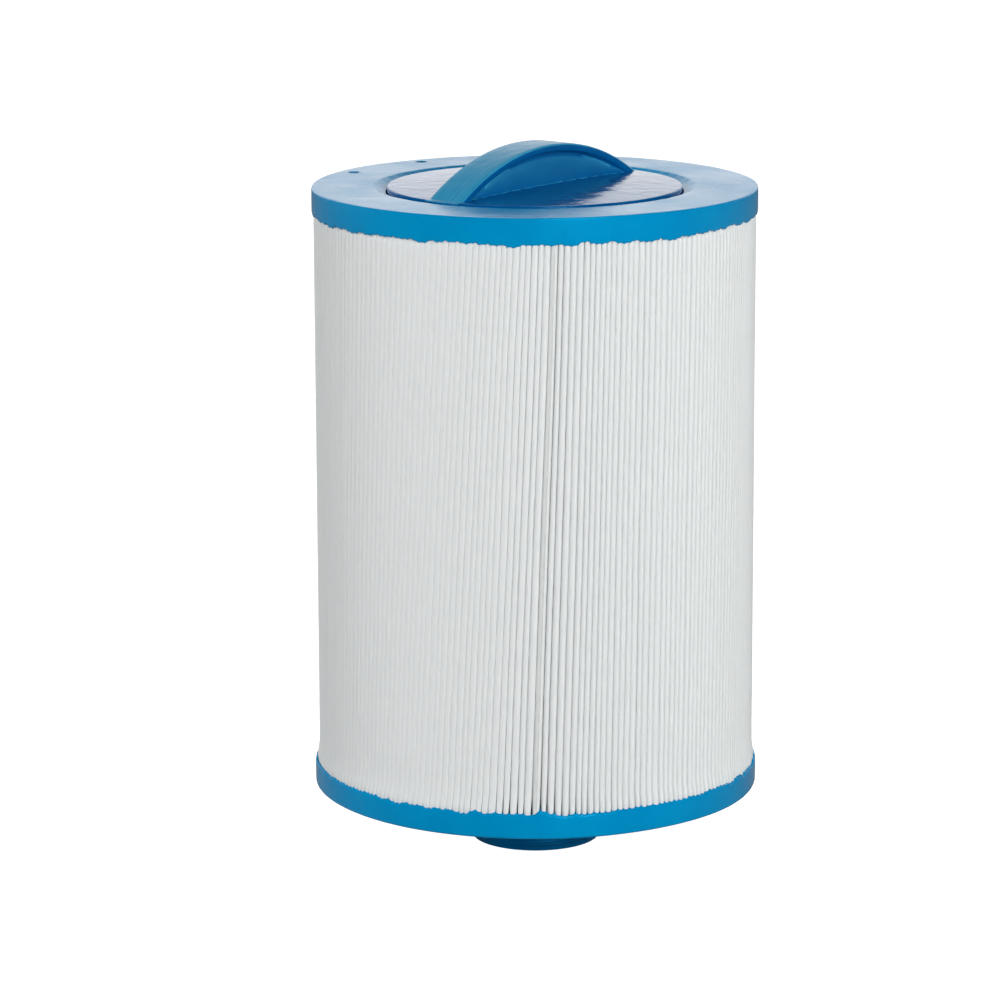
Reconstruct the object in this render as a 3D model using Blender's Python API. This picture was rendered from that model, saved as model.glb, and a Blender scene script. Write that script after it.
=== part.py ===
"""Pleated filter cartridge for a spa or small pool: a pleated sheet round a slotted core,
cast between two end caps, with a carrying handle on top and a threaded spigot below.

Z = 0 is the spigot's end face, the cartridge's lowest point, and +Z is the cartridge's axis.
-Y is the front. Every piece is a separate closed body, GAP away from its neighbours.
"""

import math

import bmesh
import bpy

MM = 0.001
GAP = 0.3 * MM
TURN = 2.0 * math.pi

# Body: the two caps and what stands between them
BODY_HEIGHT = 209.6 * MM
SPIGOT_LENGTH = 20.7 * MM
UNDERSIDE = SPIGOT_LENGTH
TOP_FACE = UNDERSIDE + BODY_HEIGHT
RING_SEGMENTS = 48

# Top end cap; every depth is measured down from TOP_FACE
TOP_CAP_RADIUS = 76.2 * MM
TOP_RIM_DEPTH = 9.0 * MM
TOP_WEB_DEPTH = 7.2 * MM
CAP_EDGE_ROUND = 0.9 * MM
GROOVE_RADIUS = 55.3 * MM
GROOVE_DEPTH = 2.6 * MM

# Bottom end cap; every height is measured up from UNDERSIDE
BOTTOM_CAP_RADIUS = 77.05 * MM
BOTTOM_RIM_HEIGHT = 8.2 * MM
BOTTOM_WEB_HEIGHT = 7.0 * MM

# Handle plate: a disc with a flange that the top cap is cast round, and a plug in the core
PLATE_RADIUS = 51.2 * MM
PLATE_TOP_RADIUS = 50.45 * MM
PLATE_THICKNESS = 3.0 * MM
PLATE_FLANGE_RADIUS = 53.2 * MM
PLATE_FLANGE_TOP = 3.6 * MM
PLATE_FLANGE_BOTTOM = 5.2 * MM
PLATE_FLANGE_WIDTH = 7.2 * MM
PLUG_RADIUS = 33.3 * MM
PLUG_WALL = 2.5 * MM
PLUG_DEPTH = 14.0 * MM

# Handle: a shallow arched band over a solid web with sloping sides
HANDLE_ANGLE = math.radians(51.5)
HANDLE_HALF_SPAN = 47.8 * MM
HANDLE_RISE = 14.4 * MM
HANDLE_HALF_WIDTH = 7.0 * MM
BAND_THICKNESS = 2.4 * MM
WEB_HALF_WIDTH_LOW = 6.6 * MM
WEB_HALF_WIDTH_HIGH = 4.0 * MM
HANDLE_STEPS = 24
BAND_FOOT = 1.8 * MM
WEB_SINK = 1.2 * MM

# Core tube with its rows of windows
CORE_RADIUS = 36.6 * MM
CORE_WALL = 2.5 * MM
CORE_COLUMNS = 12
CORE_ROWS = 8
CORE_STRUT_SHARE = 0.40
CORE_HOOP_HEIGHT = 5.5 * MM

# Threaded fitting: a spigot below, a flange cast into the bottom cap, a sleeve in the core
BORE_RADIUS = 18.5 * MM
THREAD_CREST_RADIUS = 24.0 * MM
THREAD_ROOT_RADIUS = 22.2 * MM
THREAD_PITCH = 5.0 * MM
THREAD_START = 1.4 * MM
THREAD_END = 18.2 * MM
THREAD_FADE = 1.6 * MM
THREAD_ROWS_PER_PITCH = 6
NECK_RADIUS = 24.2 * MM
FITTING_FLANGE_RADIUS = 38.0 * MM
FITTING_FLANGE_BOTTOM = 2.7 * MM
FITTING_FLANGE_TOP = 4.9 * MM
SLEEVE_RADIUS = 33.3 * MM
SLEEVE_WALL = 2.5 * MM
SLEEVE_TOP = 16.0 * MM
FITTING_SEGMENTS = 32

# Pleated sheet: one strip folded to and fro between an inner and an outer radius
PLEATS = 221
MEDIA_RADIUS = 75.2 * MM
MEDIA_INNER_RADIUS = CORE_RADIUS + 0.4 * MM
SHEET_THICKNESS = 0.3 * MM
OUTER_FOLD_SHARE = 0.68
INNER_FOLD_SHARE = 0.50

# Seam: a thin strip that joins the sheet's two ends, in a fold of its own
SEAM_ANGLE = math.radians(-87.5)
SEAM_EXTRA_WIDTH = 0.9 * MM
SEAM_THICKNESS = 0.4 * MM
SEAM_INNER_RADIUS = 49.0 * MM
SEAM_OUTER_RADIUS = 74.6 * MM

# Where the sheet and the core stand between the two caps' webs
INSIDE_BOTTOM = UNDERSIDE + BOTTOM_WEB_HEIGHT + GAP
INSIDE_TOP = TOP_FACE - TOP_WEB_DEPTH - GAP
RIM_INNER_RADIUS = MEDIA_RADIUS + GAP
CAP_BORE_RADIUS = CORE_RADIUS - CORE_WALL

# Colours as seen, 0 to 255
CAP_BLUE = (0, 140, 205)
PLATE_BLUE = (0, 105, 170)
FITTING_BLUE = (0, 80, 145)
SHEET_WHITE = (226, 228, 226)
CORE_WHITE = (235, 236, 234)
SEAM_WHITE = (215, 215, 210)


def clear_scene():
    for old in list(bpy.data.objects):
        bpy.data.objects.remove(old, do_unlink=True)


def linear(value):
    """One 0-255 display value as linear light."""
    share = value / 255.0
    if share <= 0.04045:
        return share / 12.92
    return ((share + 0.055) / 1.055) ** 2.4


def plastic(name, colour, roughness):
    material = bpy.data.materials.new(name)
    material.use_nodes = True
    shader = material.node_tree.nodes["Principled BSDF"]
    shader.inputs["Base Color"].default_value = [linear(v) for v in colour] + [1.0]
    shader.inputs["Roughness"].default_value = roughness
    shader.inputs["Metallic"].default_value = 0.0
    return material


def piece(name, bm, material, smooth_angle=30.0):
    """Turn a bmesh into a named object, with its faces pointing out."""
    bmesh.ops.recalc_face_normals(bm, faces=bm.faces)
    mesh = bpy.data.meshes.new(name)
    bm.to_mesh(mesh)
    bm.free()
    mesh.materials.append(material)
    mesh.shade_smooth()
    mesh.set_sharp_from_angle(angle=math.radians(smooth_angle))
    obj = bpy.data.objects.new(name, mesh)
    bpy.context.scene.collection.objects.link(obj)
    return obj


def spun(profile):
    """Spin a closed outline of (radius, z) points once round Z."""
    bm = bmesh.new()
    corners = [bm.verts.new((radius, 0.0, z)) for radius, z in profile]
    edges = [bm.edges.new((a, b)) for a, b in zip(corners, corners[1:] + corners[:1])]
    bmesh.ops.spin(
        bm,
        geom=corners + edges,
        cent=(0, 0, 0),
        axis=(0, 0, 1),
        angle=TURN,
        steps=RING_SEGMENTS,
        use_merge=True,
    )
    bmesh.ops.remove_doubles(bm, verts=bm.verts, dist=0.001 * MM)
    return bm


def edge_round(radius, z, size, up):
    """Three points that round a cap's outer edge; up is +1 at a top face and -1 below."""
    points = []
    for step in range(3):
        angle = step * math.pi / 4.0
        outward = radius - size + size * math.sin(angle)
        points.append((outward, z - up * (size - size * math.cos(angle))))
    return points


def make_top_end_cap():
    """Soft ring cast round the pleats' ends and over the plate's flange."""
    lip_bottom = TOP_FACE - PLATE_FLANGE_TOP + GAP
    ledge = TOP_FACE - PLATE_FLANGE_BOTTOM - GAP
    web_bottom = TOP_FACE - TOP_WEB_DEPTH
    rim_bottom = TOP_FACE - TOP_RIM_DEPTH
    lip_radius = PLATE_RADIUS + GAP
    pocket_radius = PLATE_FLANGE_RADIUS + GAP
    profile = edge_round(TOP_CAP_RADIUS, TOP_FACE, CAP_EDGE_ROUND, 1) + [
        (TOP_CAP_RADIUS, rim_bottom),
        (RIM_INNER_RADIUS, rim_bottom),
        (RIM_INNER_RADIUS, web_bottom),
        (CAP_BORE_RADIUS, web_bottom),
        (CAP_BORE_RADIUS, ledge),
        (pocket_radius, ledge),
        (pocket_radius, lip_bottom),
        (lip_radius, lip_bottom),
        (lip_radius, TOP_FACE - GROOVE_DEPTH),
        (GROOVE_RADIUS, TOP_FACE),
    ]
    piece("top_end_cap", spun(profile), plastic("cap_urethane", CAP_BLUE, 0.2))


def make_bottom_end_cap():
    """Soft ring cast round the pleats' lower ends and round the fitting's flange."""
    pocket_radius = FITTING_FLANGE_RADIUS + GAP
    pocket_bottom = UNDERSIDE + FITTING_FLANGE_BOTTOM - GAP
    pocket_top = UNDERSIDE + FITTING_FLANGE_TOP + GAP
    web_top = UNDERSIDE + BOTTOM_WEB_HEIGHT
    rim_top = UNDERSIDE + BOTTOM_RIM_HEIGHT
    neck_hole = NECK_RADIUS + GAP
    profile = edge_round(BOTTOM_CAP_RADIUS, UNDERSIDE, CAP_EDGE_ROUND, -1) + [
        (BOTTOM_CAP_RADIUS, rim_top),
        (RIM_INNER_RADIUS, rim_top),
        (RIM_INNER_RADIUS, web_top),
        (CAP_BORE_RADIUS, web_top),
        (CAP_BORE_RADIUS, pocket_top),
        (pocket_radius, pocket_top),
        (pocket_radius, pocket_bottom),
        (neck_hole, pocket_bottom),
        (neck_hole, UNDERSIDE),
    ]
    piece("bottom_end_cap", spun(profile), plastic("cap_urethane_low", CAP_BLUE, 0.2))


def arch_radius():
    """Radius of the band's upper face, from the handle's span and rise."""
    return (HANDLE_HALF_SPAN**2 + HANDLE_RISE**2) / (2.0 * HANDLE_RISE)


def prism(sections):
    """A closed body through equal rings of points, with its two ends capped."""
    bm = bmesh.new()
    rings = [[bm.verts.new(point) for point in section] for section in sections]
    for ring, following in zip(rings, rings[1:]):
        for here in range(len(ring)):
            there = (here + 1) % len(ring)
            bm.faces.new((ring[here], ring[there], following[there], following[here]))
    bm.faces.new(list(reversed(rings[0])))
    bm.faces.new(rings[-1])
    return bm


def band_sections():
    """Cross-sections of the arched band, which dips below the plate's face at both ends."""
    outer = arch_radius()
    reach = math.asin((HANDLE_HALF_SPAN + BAND_FOOT) / outer)
    centre = TOP_FACE + HANDLE_RISE - outer
    sections = []
    for step in range(HANDLE_STEPS + 1):
        angle = reach * (2.0 * step / HANDLE_STEPS - 1.0)
        low = outer - BAND_THICKNESS
        x_high, z_high = outer * math.sin(angle), centre + outer * math.cos(angle)
        x_low, z_low = low * math.sin(angle), centre + low * math.cos(angle)
        half = HANDLE_HALF_WIDTH
        sections.append([
            (x_low, -half, z_low),
            (x_low, half, z_low),
            (x_high, half, z_high),
            (x_high, -half, z_high),
        ])
    return sections


def web_half_width(height):
    """The web's sides slope in from the plate up to the band."""
    share = height / HANDLE_RISE
    return WEB_HALF_WIDTH_LOW + share * (WEB_HALF_WIDTH_HIGH - WEB_HALF_WIDTH_LOW)


def web_sections():
    """Cross-sections of the web, which fills the arch from the plate up into the band."""
    inside = arch_radius() - 0.5 * BAND_THICKNESS
    drop = arch_radius() - HANDLE_RISE
    reach = math.sqrt(inside**2 - drop**2) - 0.5 * MM
    sections = []
    for step in range(HANDLE_STEPS + 1):
        along = reach * (2.0 * step / HANDLE_STEPS - 1.0)
        height = math.sqrt(inside**2 - along**2) - drop
        low, high = WEB_HALF_WIDTH_LOW, web_half_width(height)
        sections.append([
            (along, -low, TOP_FACE - WEB_SINK),
            (along, low, TOP_FACE - WEB_SINK),
            (along, low, TOP_FACE),
            (along, high, TOP_FACE + height),
            (along, -high, TOP_FACE + height),
            (along, -low, TOP_FACE),
        ])
    return sections


def join_to(obj, name, bm, material):
    """Join a shape to obj by a Boolean union, and hide the tool."""
    tool = piece(name, bm, material)
    tool.rotation_euler = (0.0, 0.0, HANDLE_ANGLE)
    tool.hide_render = True
    tool.display_type = "WIRE"
    union = obj.modifiers.new(name, "BOOLEAN")
    union.operation = "UNION"
    union.solver = "EXACT"
    union.object = tool


def make_handle_plate():
    """Moulded plate: disc, cast-in flange, plug and handle in one piece."""
    under = TOP_FACE - PLATE_THICKNESS
    flange_top = TOP_FACE - PLATE_FLANGE_TOP
    flange_bottom = TOP_FACE - PLATE_FLANGE_BOTTOM
    flange_inner = PLATE_FLANGE_RADIUS - PLATE_FLANGE_WIDTH
    plug_bottom = TOP_FACE - PLUG_DEPTH
    plug_inner = PLUG_RADIUS - PLUG_WALL
    edge = 0.4 * MM
    profile = [
        (0.0, TOP_FACE),
        (PLATE_TOP_RADIUS - edge, TOP_FACE),
        (PLATE_TOP_RADIUS, TOP_FACE - edge),
        (PLATE_RADIUS, flange_top),
        (PLATE_FLANGE_RADIUS, flange_top),
        (PLATE_FLANGE_RADIUS, flange_bottom),
        (flange_inner, flange_bottom),
        (flange_inner, under),
        (PLUG_RADIUS, under),
        (PLUG_RADIUS, plug_bottom),
        (plug_inner, plug_bottom),
        (plug_inner, under),
        (0.0, under),
    ]
    colour = plastic("handle_plastic", PLATE_BLUE, 0.22)
    plate = piece("handle_plate", spun(profile), colour)
    join_to(plate, "web_tool", prism(web_sections()), colour)
    join_to(plate, "band_tool", prism(band_sections()), colour)


def core_levels():
    """Heights of the core's hoops and windows, from the bottom up."""
    hoops = CORE_ROWS + 1
    window = (INSIDE_TOP - INSIDE_BOTTOM - hoops * CORE_HOOP_HEIGHT) / CORE_ROWS
    levels = [INSIDE_BOTTOM]
    for row in range(CORE_ROWS):
        levels.append(levels[-1] + CORE_HOOP_HEIGHT)
        levels.append(levels[-1] + window)
    levels.append(levels[-1] + CORE_HOOP_HEIGHT)
    return levels


def core_angles():
    """Directions of the core's struts and windows, once round."""
    pitch = TURN / CORE_COLUMNS
    angles = []
    for column in range(CORE_COLUMNS):
        angles.append(column * pitch)
        angles.append((column + CORE_STRUT_SHARE) * pitch)
    return angles


def make_core_tube():
    """Rigid tube with rows of windows: a sheet with holes, thickened inwards."""
    bm = bmesh.new()
    rings = []
    for z in core_levels():
        ring = []
        for angle in core_angles():
            corner = (CORE_RADIUS * math.cos(angle), CORE_RADIUS * math.sin(angle), z)
            ring.append(bm.verts.new(corner))
        rings.append(ring)
    for level, (ring, above) in enumerate(zip(rings, rings[1:])):
        for here in range(len(ring)):
            is_window = level % 2 == 1 and here % 2 == 1
            if is_window:
                continue
            there = (here + 1) % len(ring)
            bm.faces.new((ring[here], ring[there], above[there], above[here]))
    core = piece("core_tube", bm, plastic("core_plastic", CORE_WHITE, 0.5))
    wall = core.modifiers.new("wall", "SOLIDIFY")
    wall.thickness = CORE_WALL
    wall.offset = -1.0
    wall.use_even_offset = True


def thread_ridge(angle, z):
    """How far the thread stands out of its root here: a helical ridge, faded at both ends."""
    phase = (z / THREAD_PITCH - angle / TURN) % 1.0
    from_crest = abs(phase - 0.5)
    ridge = min(1.0, max(0.0, (0.36 - from_crest) / 0.24))
    from_start = (z - THREAD_START) / THREAD_FADE
    from_end = (THREAD_END - z) / THREAD_FADE
    fade = min(1.0, max(0.0, from_start), max(0.0, from_end))
    return (THREAD_CREST_RADIUS - THREAD_ROOT_RADIUS) * ridge * fade


def thread_levels():
    step = THREAD_PITCH / THREAD_ROWS_PER_PITCH
    rows = round((THREAD_END - THREAD_START) / step)
    return [THREAD_START + row * (THREAD_END - THREAD_START) / rows for row in range(rows + 1)]


def make_threaded_fitting():
    """Rigid fitting with a bore right through it and a coarse outside thread."""
    flange_bottom = UNDERSIDE + FITTING_FLANGE_BOTTOM
    flange_top = UNDERSIDE + FITTING_FLANGE_TOP
    sleeve_top = UNDERSIDE + SLEEVE_TOP
    sleeve_inner = SLEEVE_RADIUS - SLEEVE_WALL
    root = [(THREAD_ROOT_RADIUS, z) for z in thread_levels()]
    threaded = range(2, 2 + len(root))
    profile = [(BORE_RADIUS, 0.0), (THREAD_ROOT_RADIUS, 0.0)] + root + [
        (NECK_RADIUS, THREAD_END + 0.8 * MM),
        (NECK_RADIUS, flange_bottom),
        (FITTING_FLANGE_RADIUS, flange_bottom),
        (FITTING_FLANGE_RADIUS, flange_top),
        (SLEEVE_RADIUS, flange_top),
        (SLEEVE_RADIUS, sleeve_top),
        (sleeve_inner, sleeve_top),
        (sleeve_inner, flange_top),
        (BORE_RADIUS, flange_top),
    ]
    bm = bmesh.new()
    rings = []
    for step in range(FITTING_SEGMENTS):
        angle = TURN * step / FITTING_SEGMENTS
        ring = []
        for index, (radius, z) in enumerate(profile):
            out = radius + (thread_ridge(angle, z) if index in threaded else 0.0)
            ring.append(bm.verts.new((out * math.cos(angle), out * math.sin(angle), z)))
        rings.append(ring)
    for ring, following in zip(rings, rings[1:] + rings[:1]):
        for here in range(len(ring)):
            there = (here + 1) % len(ring)
            bm.faces.new((ring[here], ring[there], following[there], following[here]))
    piece("threaded_fitting", bm, plastic("fitting_plastic", FITTING_BLUE, 0.35))


def fold_corner(radius, angle, outward, turning):
    """The sheet's two faces at one corner of a fold, as (radius, angle) pairs.

    outward is the sign of the outside face's radius change and turning that of its angle.
    """
    half = 0.5 * SHEET_THICKNESS
    swing = turning * half / radius
    outside = (radius + outward * half, angle + swing)
    inside = (radius - outward * half, angle - swing)
    return outside, inside


def sheet_corners():
    """Corners of the folded sheet from one free end, round the core, to the other end."""
    outer = MEDIA_RADIUS - 0.5 * SHEET_THICKNESS
    inner = MEDIA_INNER_RADIUS + 0.5 * SHEET_THICKNESS
    seam_share = SEAM_EXTRA_WIDTH / MEDIA_RADIUS
    pitch = (TURN - seam_share) / PLEATS
    wide = 0.5 * OUTER_FOLD_SHARE * pitch
    narrow = 0.5 * INNER_FOLD_SHARE * pitch
    first = SEAM_ANGLE + 0.5 * seam_share
    corners = []
    for pleat in range(PLEATS + 1):
        middle = first + pleat * pitch
        if pleat > 0:
            corners.append(fold_corner(outer, middle - wide, 1, -1))
        if pleat < PLEATS:
            corners.append(fold_corner(outer, middle + wide, 1, 1))
            valley = middle + 0.5 * pitch
            corners.append(fold_corner(inner, valley - narrow, 1, 1))
            corners.append(fold_corner(inner, valley + narrow, 1, -1))
    return corners


def make_pleated_media():
    """One strip of filter sheet, folded to and fro all the way round the core."""
    bm = bmesh.new()

    def corner(polar, z):
        radius, angle = polar
        return bm.verts.new((radius * math.cos(angle), radius * math.sin(angle), z))

    columns = []
    for outside, inside in sheet_corners():
        columns.append((
            corner(outside, INSIDE_BOTTOM),
            corner(outside, INSIDE_TOP),
            corner(inside, INSIDE_TOP),
            corner(inside, INSIDE_BOTTOM),
        ))
    for column, following in zip(columns, columns[1:]):
        for here in range(4):
            there = (here + 1) % 4
            bm.faces.new((column[here], column[there], following[there], following[here]))
    bm.faces.new(list(reversed(columns[0])))
    bm.faces.new(columns[-1])
    piece("pleated_media", bm, plastic("media_fabric", SHEET_WHITE, 0.9), smooth_angle=20.0)


def make_seam_strip():
    """Bead that joins the sheet's two ends, standing in the seam's fold."""
    half = 0.5 * SEAM_THICKNESS
    outline = [
        (SEAM_INNER_RADIUS, -half),
        (SEAM_OUTER_RADIUS, -half),
        (SEAM_OUTER_RADIUS, half),
        (SEAM_INNER_RADIUS, half),
    ]
    cosine, sine = math.cos(SEAM_ANGLE), math.sin(SEAM_ANGLE)
    sections = []
    for z in (INSIDE_BOTTOM, INSIDE_TOP):
        sections.append([(u * cosine - v * sine, u * sine + v * cosine, z) for u, v in outline])
    piece("seam_strip", prism(sections), plastic("seam_glue", SEAM_WHITE, 0.6))


clear_scene()
make_top_end_cap()
make_bottom_end_cap()
make_handle_plate()
make_core_tube()
make_threaded_fitting()
make_pleated_media()
make_seam_strip()
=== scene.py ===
"""Pleated filter cartridge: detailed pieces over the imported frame, in a plain pale studio.

Metres, +Z up, -Y is the front. Lengths below are written as millimetres times MM.
"""

import math

import bmesh
import bpy
import numpy as np
from mathutils import Matrix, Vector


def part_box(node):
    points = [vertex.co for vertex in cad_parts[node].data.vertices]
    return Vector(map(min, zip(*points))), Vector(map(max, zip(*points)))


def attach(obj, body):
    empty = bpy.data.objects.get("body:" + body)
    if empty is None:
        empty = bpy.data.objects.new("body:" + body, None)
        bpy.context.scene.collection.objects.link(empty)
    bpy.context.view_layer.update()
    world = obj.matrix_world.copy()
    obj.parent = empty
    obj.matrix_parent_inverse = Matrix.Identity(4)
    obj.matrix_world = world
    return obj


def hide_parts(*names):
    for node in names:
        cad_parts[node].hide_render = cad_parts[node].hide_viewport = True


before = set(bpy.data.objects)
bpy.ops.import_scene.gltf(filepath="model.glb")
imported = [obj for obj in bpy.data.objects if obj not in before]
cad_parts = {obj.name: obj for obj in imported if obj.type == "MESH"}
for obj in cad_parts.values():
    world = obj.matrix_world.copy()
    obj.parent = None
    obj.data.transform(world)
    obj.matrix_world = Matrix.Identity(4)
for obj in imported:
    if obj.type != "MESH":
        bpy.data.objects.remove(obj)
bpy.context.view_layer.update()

MM = 0.001
TURN = 2.0 * math.pi
RNG = np.random.default_rng(11)

# Levels and radii that the frame gives
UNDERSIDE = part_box("bottom_end_cap")[0][2]
TOP_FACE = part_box("top_end_cap")[1][2]
BODY_MIDDLE = 0.5 * (UNDERSIDE + TOP_FACE)
TOP_CAP_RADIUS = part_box("top_end_cap")[1][0]
BOTTOM_CAP_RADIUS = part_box("bottom_end_cap")[1][0]
MEDIA_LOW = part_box("pleated_media")[0][2]
MEDIA_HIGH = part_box("pleated_media")[1][2]
CORE_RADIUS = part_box("core_tube")[1][0]

# Where the two caps' rims end on the pleats
TOP_RIM_DEPTH = 9.0 * MM
BOTTOM_RIM_HEIGHT = 8.2 * MM

# Pleated sheet
PLEATS = 221
SEAM_ANGLE = math.radians(-87.5)
SEAM_EXTRA = 0.35 * MM
TIP_RADIUS = 75.6 * MM
FOLD_RADIUS = 37.05 * MM
SHEET = 0.42 * MM
TIP_POINTS = 7

# Noise stretched along the handle: scales and turn about Z
HANDLE_ANGLE = math.radians(51.5)
ALONG_HANDLE = (22.0, 1.0, 22.0, HANDLE_ANGLE)

# Columns of the two caps for each pleat, so that their edges can follow the pleats
COLUMNS_PER_PLEAT = 6


def grid_faces(rows, columns, close_rows=False, close_columns=True):
    """Quads of a grid of points stored row by row."""
    row = np.arange(rows if close_rows else rows - 1)
    column = np.arange(columns if close_columns else columns - 1)
    r, c = np.meshgrid(row, column, indexing="ij")
    r2, c2 = (r + 1) % rows, (c + 1) % columns
    quads = np.stack([r * columns + c, r * columns + c2, r2 * columns + c2, r2 * columns + c], -1)
    return quads.reshape(-1, 4)


def polar(radius, angle, z):
    radius, angle, z = np.broadcast_arrays(radius, angle, z)
    return np.stack([radius * np.cos(angle), radius * np.sin(angle), z], -1)


def piece(name, points, faces, material, node, smooth_angle=40.0):
    """A closed mesh that stands for one CAD node."""
    mesh = bpy.data.meshes.new(name)
    if isinstance(faces, np.ndarray):
        mesh.vertices.add(len(points))
        mesh.vertices.foreach_set("co", np.asarray(points, np.float32).ravel())
        mesh.loops.add(faces.size)
        mesh.loops.foreach_set("vertex_index", faces.astype(np.int32).ravel())
        mesh.polygons.add(len(faces))
        mesh.polygons.foreach_set("loop_start", np.arange(0, faces.size, 4, dtype=np.int32))
        mesh.update(calc_edges=True)
    else:
        mesh.from_pydata([tuple(p) for p in points], [], faces)
    return finish_piece(name, mesh, material, node, smooth_angle)


def finish_piece(name, mesh, material, node, smooth_angle):
    bm = bmesh.new()
    bm.from_mesh(mesh)
    bmesh.ops.recalc_face_normals(bm, faces=bm.faces)
    bm.to_mesh(mesh)
    bm.free()
    mesh.validate()
    mesh.materials.append(material)
    mesh.shade_smooth()
    mesh.set_sharp_from_angle(angle=math.radians(smooth_angle))
    obj = bpy.data.objects.new(name, mesh)
    bpy.context.scene.collection.objects.link(obj)
    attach(obj, "root")
    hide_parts(node)
    return obj


# ---------------------------------------------------------------- materials


class Look:
    """A Principled material with a few helpers for its nodes."""

    def __init__(self, name, colour, roughness, **constants):
        self.material = bpy.data.materials.new(name)
        self.material.use_nodes = True
        self.nodes = self.material.node_tree.nodes
        self.links = self.material.node_tree.links
        self.shader = self.nodes["Principled BSDF"]
        self.shader.inputs["Base Color"].default_value = (*colour, 1.0)
        self.shader.inputs["Roughness"].default_value = roughness
        for socket, value in constants.items():
            self.shader.inputs[socket.replace("_", " ")].default_value = value
        self.place = self.nodes.new("ShaderNodeTexCoord").outputs["Object"]

    def stretched(self, x, y, z, turn=0.0):
        """Object coordinates turned about Z and then divided by the given lengths."""
        node = self.nodes.new("ShaderNodeMapping")
        node.vector_type = "TEXTURE"
        node.inputs["Scale"].default_value = (x, y, z)
        node.inputs["Rotation"].default_value = (0.0, 0.0, turn)
        self.links.new(self.place, node.inputs["Vector"])
        return node.outputs["Vector"]

    def noise(self, scale, detail=3.0, rough=0.5, vector=None, distortion=0.0):
        node = self.nodes.new("ShaderNodeTexNoise")
        node.inputs["Scale"].default_value = scale
        node.inputs["Detail"].default_value = detail
        node.inputs["Roughness"].default_value = rough
        node.inputs["Distortion"].default_value = distortion
        self.links.new(vector or self.place, node.inputs["Vector"])
        return node.outputs["Fac"]

    def cells(self, scale, vector=None):
        node = self.nodes.new("ShaderNodeTexVoronoi")
        node.inputs["Scale"].default_value = scale
        self.links.new(vector or self.place, node.inputs["Vector"])
        return node.outputs["Distance"]

    def remap(self, value, low, high, to_low, to_high):
        node = self.nodes.new("ShaderNodeMapRange")
        node.inputs["From Min"].default_value = low
        node.inputs["From Max"].default_value = high
        node.inputs["To Min"].default_value = to_low
        node.inputs["To Max"].default_value = to_high
        self.links.new(value, node.inputs["Value"])
        return node.outputs["Result"]

    def math(self, operation, a, b):
        node = self.nodes.new("ShaderNodeMath")
        node.operation = operation
        for socket, value in zip(node.inputs, (a, b)):
            if isinstance(value, (int, float)):
                socket.default_value = value
            else:
                self.links.new(value, socket)
        return node.outputs["Value"]

    def mix(self, factor, a, b):
        node = self.nodes.new("ShaderNodeMix")
        node.data_type = "RGBA"
        self.links.new(factor, node.inputs["Factor"])
        for socket, value in ((node.inputs[6], a), (node.inputs[7], b)):
            if isinstance(value, tuple):
                socket.default_value = (*value, 1.0)
            else:
                self.links.new(value, socket)
        return node.outputs[2]

    def blend(self, factor, a, b):
        node = self.nodes.new("ShaderNodeMix")
        for socket, value in zip(node.inputs, (factor, None, a, b)):
            if value is not None:
                self.links.new(value, socket)
        return node.outputs[0]

    def worn_and_toplit_band(self, half_width, level):
        """A handle's up-facing top band, for wear and painted top light: within its width, and either high up or
        sloping.
        """
        strip = self.across_handle(half_width + 0.1 * MM, half_width)
        high_up = self.above(level, level + 0.2 * MM)
        sloping = self.facing_up(0.998, 0.99)
        band = self.math("MULTIPLY", strip, self.math("MAXIMUM", high_up, sloping))
        return self.math("MULTIPLY", band, self.facing_up(0.12, 0.45))

    def facing_up(self, low, high):
        split = self.nodes.new("ShaderNodeSeparateXYZ")
        geometry = self.nodes.new("ShaderNodeNewGeometry")
        self.links.new(geometry.outputs["Normal"], split.inputs["Vector"])
        return self.remap(split.outputs["Z"], low, high, 0.0, 1.0)

    def across_handle(self, low, high):
        split = self.nodes.new("ShaderNodeSeparateXYZ")
        self.links.new(self.stretched(1.0, 1.0, 1.0, HANDLE_ANGLE), split.inputs["Vector"])
        return self.remap(self.math("ABSOLUTE", split.outputs["Y"], 0.0), low, high, 0.0, 1.0)

    def above(self, low, high):
        split = self.nodes.new("ShaderNodeSeparateXYZ")
        self.links.new(self.place, split.inputs["Vector"])
        return self.remap(split.outputs["Z"], low, high, 0.0, 1.0)

    def out_from_axis(self, low, high):
        node = self.nodes.new("ShaderNodeVectorMath")
        node.operation = "LENGTH"
        self.links.new(self.stretched(1.0, 1.0, 1000.0), node.inputs[0])
        return self.remap(node.outputs["Value"], low, high, 0.0, 1.0)

    def set(self, socket, value):
        self.links.new(value, self.shader.inputs[socket])

    def bump(self, *layers):
        """layers are (height, distance in metres, strength), chained."""
        normal = None
        for height, distance, strength in layers:
            node = self.nodes.new("ShaderNodeBump")
            node.inputs["Strength"].default_value = strength
            node.inputs["Distance"].default_value = distance
            self.links.new(height, node.inputs["Height"])
            if normal is not None:
                self.links.new(normal, node.inputs["Normal"])
            normal = node.outputs["Normal"]
        self.links.new(normal, self.shader.inputs["Normal"])


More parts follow.
